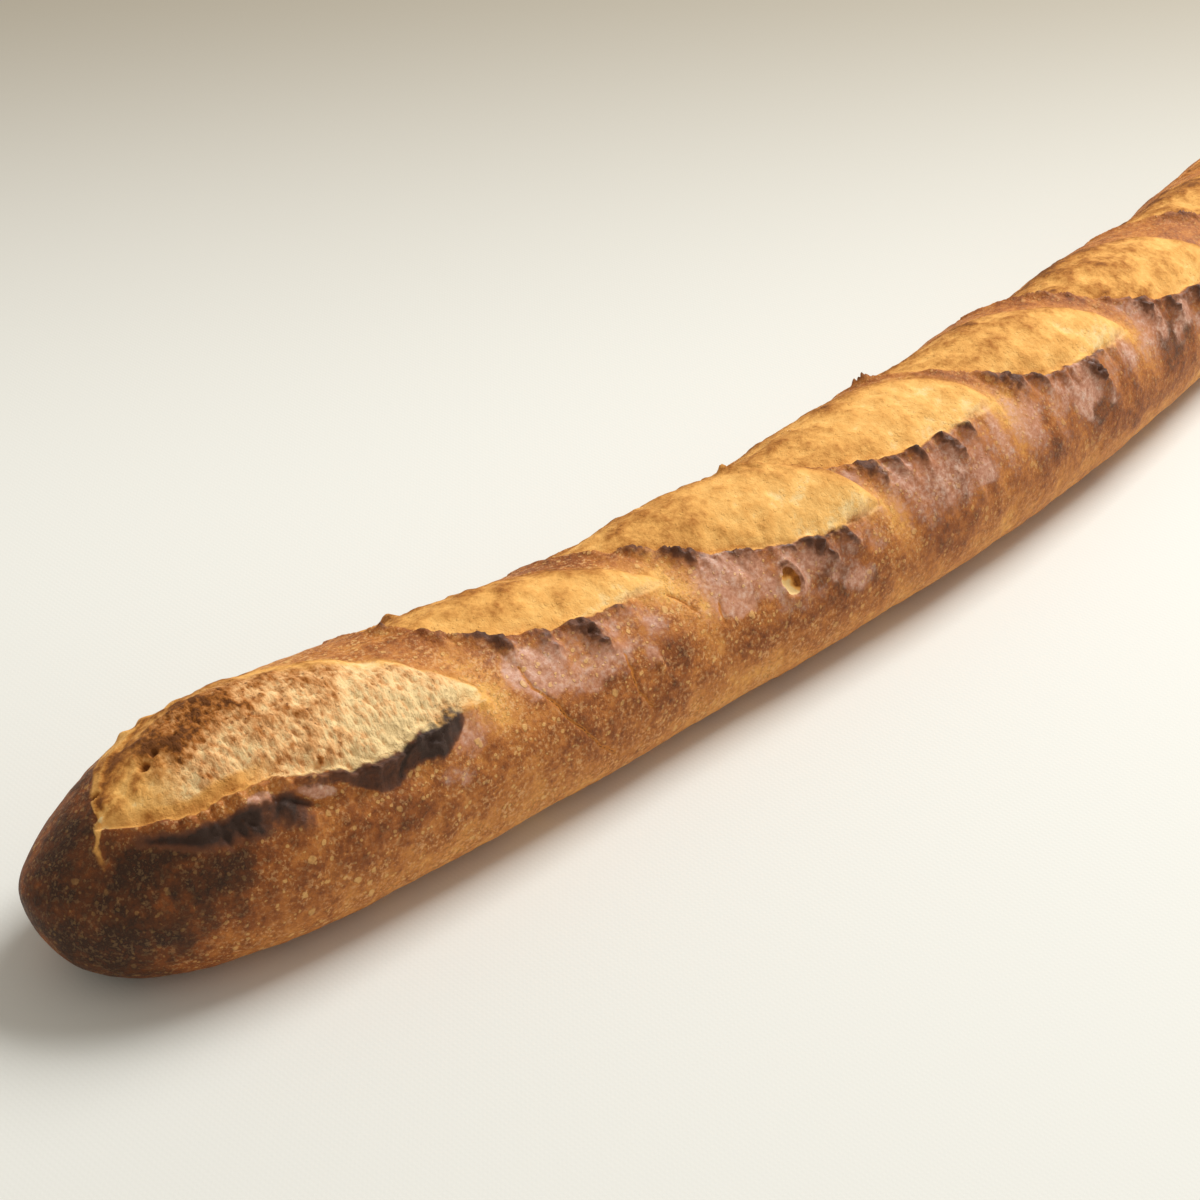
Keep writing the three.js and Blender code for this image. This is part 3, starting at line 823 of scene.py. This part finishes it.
class Graph:
    """Short names for the nodes of one material."""

    def __init__(self, name):
        self.material = bpy.data.materials.new(name)
        self.material.use_nodes = True
        self.tree = self.material.node_tree
        self.tree.nodes.clear()
        self.place = self.new("ShaderNodeTexCoord").outputs["Object"]

    def new(self, kind, **settings):
        node = self.tree.nodes.new(kind)
        for key, value in settings.items():
            setattr(node, key, value)
        return node

    def feed(self, socket, value):
        if isinstance(value, bpy.types.NodeSocket):
            self.tree.links.new(value, socket)
        else:
            socket.default_value = value

    def attribute(self, name):
        return self.new("ShaderNodeAttribute", attribute_name=name).outputs["Fac"]

    def math(self, operation, a, b):
        node = self.new("ShaderNodeMath", operation=operation)
        self.feed(node.inputs[0], a)
        self.feed(node.inputs[1], b)
        return node.outputs[0]

    def multiply(self, a, b):
        return self.math("MULTIPLY", a, b)

    def remap(self, value, low, high, to_low=0.0, to_high=1.0):
        node = self.new("ShaderNodeMapRange", interpolation_type="SMOOTHSTEP")
        for socket, number in zip(node.inputs, (value, low, high, to_low, to_high)):
            self.feed(socket, number)
        return node.outputs[0]

    def combine(self, x, y, z=0.0):
        node = self.new("ShaderNodeCombineXYZ")
        for socket, value in zip(node.inputs, (x, y, z)):
            self.feed(socket, value)
        return node.outputs[0]

    def noise(self, size, detail=2.0, at=None, scale=1000.0, rough=0.5):
        """Noise about `size` millimetres across, from 0 to 1."""
        node = self.new("ShaderNodeTexNoise")
        self.feed(node.inputs["Vector"], at or self.place)
        node.inputs["Scale"].default_value = scale / size
        node.inputs["Detail"].default_value = detail
        node.inputs["Roughness"].default_value = rough
        return node.outputs["Fac"]

    def warped(self, size, reach):
        """The place, strayed by up to `reach` millimetres in waves of `size` millimetres."""
        noise = self.new("ShaderNodeTexNoise")
        self.feed(noise.inputs["Vector"], self.place)
        noise.inputs["Scale"].default_value = 1000.0 / size
        stray = self.new("ShaderNodeVectorMath", operation="MULTIPLY_ADD")
        self.feed(stray.inputs[0], noise.outputs["Color"])
        stray.inputs[1].default_value = [2 * reach * MM] * 3
        self.feed(stray.inputs[2], self.place)
        return stray.outputs[0]

    def spots(self, size, share, radius):
        """Uneven dots: 1 inside one, for a share of the cells `size` millimetres across."""
        node = self.new("ShaderNodeTexVoronoi")
        self.feed(node.inputs["Vector"], self.warped(size * 0.9, size * 0.35))
        node.inputs["Scale"].default_value = 1000.0 / size
        split = self.new("ShaderNodeSeparateColor")
        self.feed(split.inputs[0], node.outputs["Color"])
        grow = self.multiply(split.outputs["Green"], radius)
        inside = self.remap(self.math("SUBTRACT", grow, node.outputs["Distance"]), 0.0, 0.12)
        return self.multiply(inside, self.math("LESS_THAN", split.outputs["Red"], share))

    def ramp(self, value, stops):
        node = self.new("ShaderNodeValToRGB")
        elements = node.color_ramp.elements
        while len(elements) < len(stops):
            elements.new(0.5)
        for element, (position, colour) in zip(elements, stops):
            element.position = position
            element.color = linear(*colour)
        self.feed(node.inputs[0], value)
        return node.outputs[0]

    def mix(self, share, a, b, blend="MIX"):
        node = self.new("ShaderNodeMix", data_type="RGBA", blend_type=blend)
        self.feed(node.inputs["Factor"], share)
        self.feed(node.inputs["A"], a)
        self.feed(node.inputs["B"], b)
        return node.outputs["Result"]

    def add_noise(self, value, *noises):
        """Adds each noise, less its middle, times its strength."""
        for noise, strength in noises:
            swing = self.multiply(self.math("SUBTRACT", noise, 0.5), strength)
            value = self.math("ADD", value, swing)
        return value

    def bump(self, height, distance, strength=1.0, below=None):
        node = self.new("ShaderNodeBump")
        self.feed(node.inputs["Height"], height)
        node.inputs["Distance"].default_value = distance * MM
        node.inputs["Strength"].default_value = strength
        if below is not None:
            self.feed(node.inputs["Normal"], below)
        return node.outputs["Normal"]

    def finish(self, colour, roughness, normal=None, **constants):
        shader = self.new("ShaderNodeBsdfPrincipled")
        self.feed(shader.inputs["Base Color"], colour)
        self.feed(shader.inputs["Roughness"], roughness)
        if normal is not None:
            self.feed(shader.inputs["Normal"], normal)
        for key, value in constants.items():
            shader.inputs[key.replace("_", " ")].default_value = value
        output = self.new("ShaderNodeOutputMaterial")
        self.tree.links.new(shader.outputs[0], output.inputs["Surface"])
        return self.material


SKIN_TONES = [
    (0.05, (246, 184, 94)),
    (0.28, (220, 148, 72)),
    (0.50, (188, 114, 50)),
    (0.70, (146, 79, 29)),
    (0.86, (96, 51, 19)),
    (1.00, (58, 33, 16)),
]
# Mauve skin; the paler stops are a painted sheen on the glossy skin.
MAUVE_SHEEN_TONES = [(0.2, (144, 90, 66)), (0.5, (206, 148, 120)), (0.8, (240, 204, 182))]
CRUMB_TONES = [
    (0.02, (255, 222, 158)),
    (0.25, (255, 198, 114)),
    (0.52, (238, 175, 92)),
    (0.80, (186, 120, 50)),
    (1.00, (130, 76, 28)),
]
TORN_TONES = [
    (0.05, (255, 222, 162)),
    (0.32, (246, 192, 130)),
    (0.58, (208, 144, 84)),
    (0.80, (170, 102, 36)),
    (1.00, (112, 64, 22)),
]
# Burnt crust, also used as painted shade under the first ear and in creases.
CHAR_AND_SHADE_TONES = [
    (0.1, (156, 94, 58)),
    (0.45, (114, 68, 42)),
    (0.8, (84, 52, 36)),
    (1.0, (64, 44, 34)),
]
FLECK, SPECK = (238, 188, 128), (104, 56, 26)
# Cracks: an orange rim, and a dark line down the middle that is painted shade in the groove.
CRACK_RIM, CRACK_SHADE_LINE = (206, 128, 48), (84, 44, 22)
# Pale pin blisters, and the dark of the crumb's pores, which is painted shade.
PIN, PORE_SHADE = (240, 190, 116), (138, 80, 38)
GRAIN_FADE = (150.0, 400.0, 1.0, 0.4)  # from, to, and the grain's strength at each
SKIN_ROUGH, MAUVE_ROUGH, CRUMB_ROUGH = 0.6, 0.36, 0.85


class CrustGraph(Graph):
    """The crust's material. The mesh carries its masks."""

    def __init__(self):
        super().__init__("crust")
        crumb, torn, self.burn_and_shade = (self.attribute(key) for key in ("crumb", "torn", "burn_and_shade"))
        self.mauve_sheen, self.pit = self.attribute("mauve_sheen"), self.attribute("pit")
        self.fine, self.grit = self.noise(2.2, 3.0), self.noise(1.3, 4.0, rough=0.7)
        self.mottle = self.noise(6.0, 4.0, rough=0.65)
        unrolled = self.combine(
            self.attribute("along"), self.multiply(self.attribute("over"), 0.45))
        self.fibre = self.noise(1.1, 3.0, at=unrolled, scale=1.0, rough=0.6)
        crumb = self.add_noise(crumb, (self.grit, 0.1), (self.fine, 0.14))
        self.crumb = self.remap(crumb, 0.45, 0.56)
        self.torn = self.multiply(torn, self.crumb)

    def tint(self, skin, share, colour):
        return self.mix(share, skin, linear(*colour))

    def skin(self):
        tone = self.attribute("tone")
        swing = self.remap(tone, 0.55, 0.9, 1.0, 0.5)  # dark crust is more even
        tone = self.add_noise(tone, *(
            (noise, self.multiply(swing, strength))
            for noise, strength in ((self.fine, 0.35), (self.grit, 0.7), (self.mottle, 0.3))))
        skin = self.ramp(tone, SKIN_TONES)
        # Painted sheen: the mauve skin turns paler where the glossy skin would reflect the
        # light.
        sheen = self.add_noise(self.mauve_sheen, (self.grit, 0.4), (self.fine, 0.4))
        sheen = self.remap(sheen, 0.12, 0.85, 0.0, 0.85)
        mauve_sheen = self.add_noise(0.52, (self.fine, 0.5), (self.grit, 0.9), (self.mottle, 0.4))
        skin = self.mix(sheen, skin, self.ramp(mauve_sheen, MAUVE_SHEEN_TONES))
        skin, near = self.dust(skin, tone, sheen)
        crack = self.add_noise(self.attribute("crack"), (self.grit, 0.2))
        skin = self.tint(skin, self.remap(crack, 0.76, 0.86, 0.0, 0.85), CRACK_RIM)
        skin = self.tint(skin, self.remap(crack, 0.91, 0.98, 0.0, 0.9), CRACK_SHADE_LINE)
        small, large = self.spots(1.6, 0.75, 0.44), self.spots(3.4, 0.45, 0.38)
        self.pins = self.math("MAXIMUM", small, large)
        pale = self.multiply(self.pins, self.remap(tone, 0.45, 0.95, 0.65, 0.12))
        skin = self.tint(skin, self.multiply(pale, near), PIN)
        # Burnt crust, and painted shade under the first ear and in creases.
        char_and_shade = self.add_noise(self.burn_and_shade, (self.noise(1.8, 3.0), 0.7))
        return self.mix(self.remap(char_and_shade, 0.12, 0.6), skin, self.ramp(char_and_shade, CHAR_AND_SHADE_TONES))

    def dust(self, skin, tone, sheen):
        """Pale and dark grain, patchy and fading along the loaf."""
        dust = self.noise(1.1, 3.0, rough=0.65)
        flecks, specks = self.remap(dust, 0.52, 0.61), self.remap(dust, 0.47, 0.38)
        self.calm = self.math("SUBTRACT", 1.0, self.multiply(sheen, 0.8))
        grain = self.multiply(self.calm, self.remap(self.mottle, 0.4, 0.58, 0.3, 1.0))
        near = self.remap(self.attribute("along"), *GRAIN_FADE)
        grain = self.multiply(grain, near)
        pale = self.multiply(flecks, grain)
        pale = self.multiply(pale, self.remap(tone, 0.4, 0.95, 0.65, 0.12))
        skin = self.tint(skin, pale, FLECK)
        return self.tint(skin, self.multiply(specks, self.multiply(grain, 0.45)), SPECK), near

    def open_crumb(self):
        bake = self.add_noise(
            self.attribute("bake"), (self.fine, 0.4), (self.grit, 0.5), (self.mottle, 0.4))
        ragged = self.add_noise(bake, (self.fibre, 1.0), (self.grit, 0.2))
        # Browner in the pits: painted shade.
        ragged = self.math("ADD", ragged, self.multiply(self.pit, 0.2))
        self.pores = self.multiply(
            self.spots(1.3, 0.45, 0.42), self.remap(bake, 0.15, 0.6, 0.25, 0.75))
        # The pores tinted dark: painted shade.
        torn_colour = self.tint(self.ramp(ragged, TORN_TONES), self.pores, PORE_SHADE)
        return self.mix(self.torn, self.ramp(bake, CRUMB_TONES), torn_colour)

    def roughness(self):
        skin, mauve_sheen, crumb = (
            (value, value, value, 1) for value in (SKIN_ROUGH, MAUVE_ROUGH, CRUMB_ROUGH))
        return self.mix(self.crumb, self.mix(self.mauve_sheen, skin, mauve_sheen), crumb)

    def relief(self):
        normal = self.bump(self.multiply(self.grit, self.calm), 0.5, 0.9)
        normal = self.bump(self.pins, 0.2, 0.7, normal)
        normal = self.bump(self.multiply(self.fibre, self.torn), 0.6, 1.0, normal)
        pores = self.multiply(self.multiply(self.pores, -1.0), self.torn)
        return self.bump(pores, 0.5, 0.8, normal)


def crust_material():
    g = CrustGraph()
    skin = g.skin()
    colour = g.mix(g.crumb, skin, g.open_crumb())
    return g.finish(colour, g.roughness(), g.relief(), Specular_IOR_Level=0.28)


# Painted shade: the cloth darkens away behind the loaf, as the light falls off there.
CLOTH_SHADE_WAY = (0.66, 0.75, 0.0)  # the cloth darkens this way, behind the loaf
CLOTH_SHADE_SPAN = (-0.04, 0.60)  # from and to, in metres
CLOTH = (235, 235, 229)
CLOTH_SHADE = (0.43, 0.38, 0.31, 1)
THREAD = 0.7


def cloth_material():
    g = Graph("cloth")
    colour = linear(*CLOTH)
    away = g.new("ShaderNodeVectorMath", operation="DOT_PRODUCT")
    g.feed(away.inputs[0], g.place)
    away.inputs[1].default_value = CLOTH_SHADE_WAY
    shade = g.remap(away.outputs["Value"], *CLOTH_SHADE_SPAN)
    colour = g.mix(shade, colour, g.mix(1.0, colour, CLOTH_SHADE, "MULTIPLY"))
    waves = []
    for axis in ("X", "Y"):
        wave = g.new("ShaderNodeTexWave", bands_direction=axis)
        g.feed(wave.inputs["Vector"], g.place)
        wave.inputs["Scale"].default_value = 1000.0 / 6.28 / THREAD
        wave.inputs["Distortion"].default_value = 1.0
        waves.append(wave.outputs["Fac"])
    weave = g.multiply(*waves)
    return g.finish(colour, 0.9, g.bump(weave, 0.06, 0.25))


# ---- Stage ---------------------------

CAMERA_AT = (-505.4, -350.7, 391.3)
CAMERA_AZIMUTH, CAMERA_PITCH = -47.61, 34.5
CAMERA_LENS, SENSOR_WIDTH = 69.0, 36.0
FLOOR_SIZE = 8.0
SKY, SKY_STRENGTH = (1.0, 0.93, 0.83, 1), 0.44
WINDOW = {"azimuth": -4, "elevation": 52, "distance": 2.0, "size": 1.0, "power": 41,
          "colour": (0.99, 1.0, 1.0)}


def build_floor():
    mesh = bpy.data.meshes.new("floor")
    half = FLOOR_SIZE / 2
    corners = [(-half, -half, 0), (half, -half, 0), (half, half, 0), (-half, half, 0)]
    mesh.from_pydata(corners, [], [(0, 1, 2, 3)])
    mesh.materials.append(cloth_material())
    floor = bpy.data.objects.new("floor", mesh)
    bpy.context.scene.collection.objects.link(floor)
    return floor


def area_light(name, azimuth, elevation, distance, size, power, colour):
    """A square lamp aimed at the loaf. Azimuth is the way it stands, from +X towards +Y."""
    data = bpy.data.lights.new(name, "AREA")
    data.shape = "SQUARE"
    data.size = size
    data.energy = power
    data.color = colour
    lamp = bpy.data.objects.new(name, data)
    az, el = radians(azimuth), radians(elevation)
    lamp.location = (distance * np.cos(el) * np.cos(az), distance * np.cos(el) * np.sin(az),
                     distance * np.sin(el))
    lamp.rotation_euler = (radians(90 - elevation), 0, radians(azimuth + 90))
    bpy.context.scene.collection.objects.link(lamp)


def build_light():
    world = bpy.data.worlds.new("studio")
    world.use_nodes = True
    background = world.node_tree.nodes["Background"]
    background.inputs["Color"].default_value = SKY
    background.inputs["Strength"].default_value = SKY_STRENGTH
    bpy.context.scene.world = world
    area_light("window", **WINDOW)
    bpy.context.scene.view_settings.view_transform = "Standard"


def build_camera():
    data = bpy.data.cameras.new("camera")
    data.lens = CAMERA_LENS
    data.sensor_width = SENSOR_WIDTH
    data.clip_start = 0.01
    camera = bpy.data.objects.new("camera", data)
    camera.location = [c * MM for c in CAMERA_AT]
    camera.rotation_euler = (radians(90 - CAMERA_PITCH), 0, radians(CAMERA_AZIMUTH))
    bpy.context.scene.collection.objects.link(camera)
    bpy.context.scene.camera = camera


loaf = build_loaf()
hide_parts("loaf")
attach(loaf, "root")
build_floor()
build_light()
build_camera()
